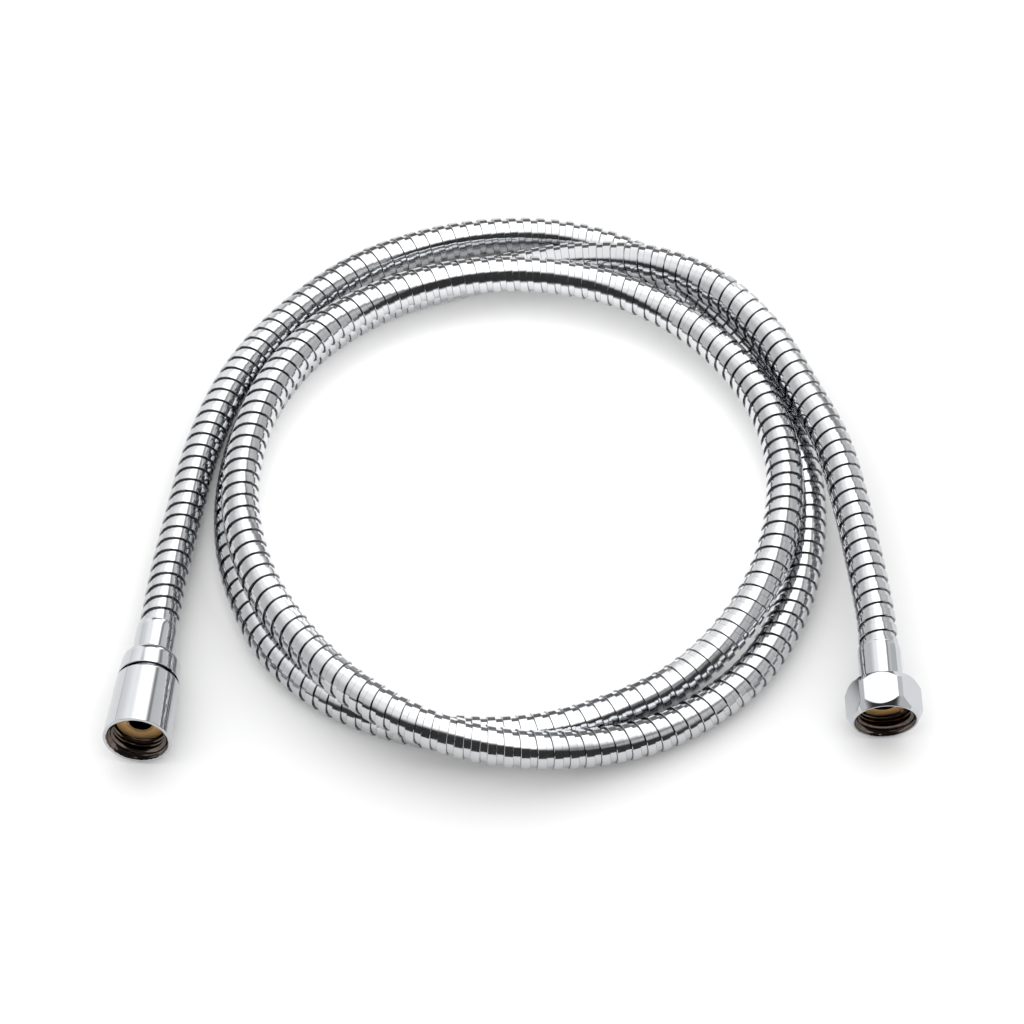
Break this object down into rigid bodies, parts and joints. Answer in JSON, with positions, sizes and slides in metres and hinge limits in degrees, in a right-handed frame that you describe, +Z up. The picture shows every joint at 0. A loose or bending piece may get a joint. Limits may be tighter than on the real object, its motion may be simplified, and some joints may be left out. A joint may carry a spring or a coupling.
{
  "type": "shower hose",
  "caption": "Flexible wound-metal shower hose lying in a loose ring, with a long conical swivel nut on one end and a hexagonal swivel nut on the other.",
  "frame": {"origin": "middle of the part's box on the floor that the hose lies on", "axes": "+Z up from the floor, +X across the ring from the conical nut to the hexagonal one, both mouths towards -Y"},
  "size_m": [0.296, 0.2684, 0.0296],
  "materials": {
    "armour": "bright polished stainless strip, wound with a fine dark seam at each turn",
    "chrome": "mirror chrome plate on turned brass",
    "brass": "bare turned brass with fine tool rings",
    "rubber": "matt black EPDM",
    "acetal": "natural moulded acetal"
  },
  "bodies": {
    "hose": {"hose_armour": "armour", "hose_liner": "rubber", "cone_end_collar": "chrome", "cone_end_ferrule": "chrome", "cone_end_insert": "brass", "cone_end_swivel_ring": "acetal", "cone_end_bush": "acetal", "hex_end_ferrule": "chrome", "hex_end_insert": "brass", "hex_end_bush": "acetal"},
    "cone_nut": {"cone_nut": "chrome"},
    "hex_nut": {"hex_nut": "chrome"}
  },
  "joints": [
    {"name": "cone_nut_spin", "type": "hinge", "parent": "hose", "child": "cone_nut", "pos_m": [-0.13553, -0.1216, 0.0136], "axis": [0.0817, 0.9936, -0.0785], "continuous": true},
    {"name": "hex_nut_spin", "type": "hinge", "parent": "hose", "child": "hex_nut", "pos_m": [0.13427, -0.113, 0.01298], "axis": [-0.0278, 0.995, 0.0958], "continuous": true}
  ]
}
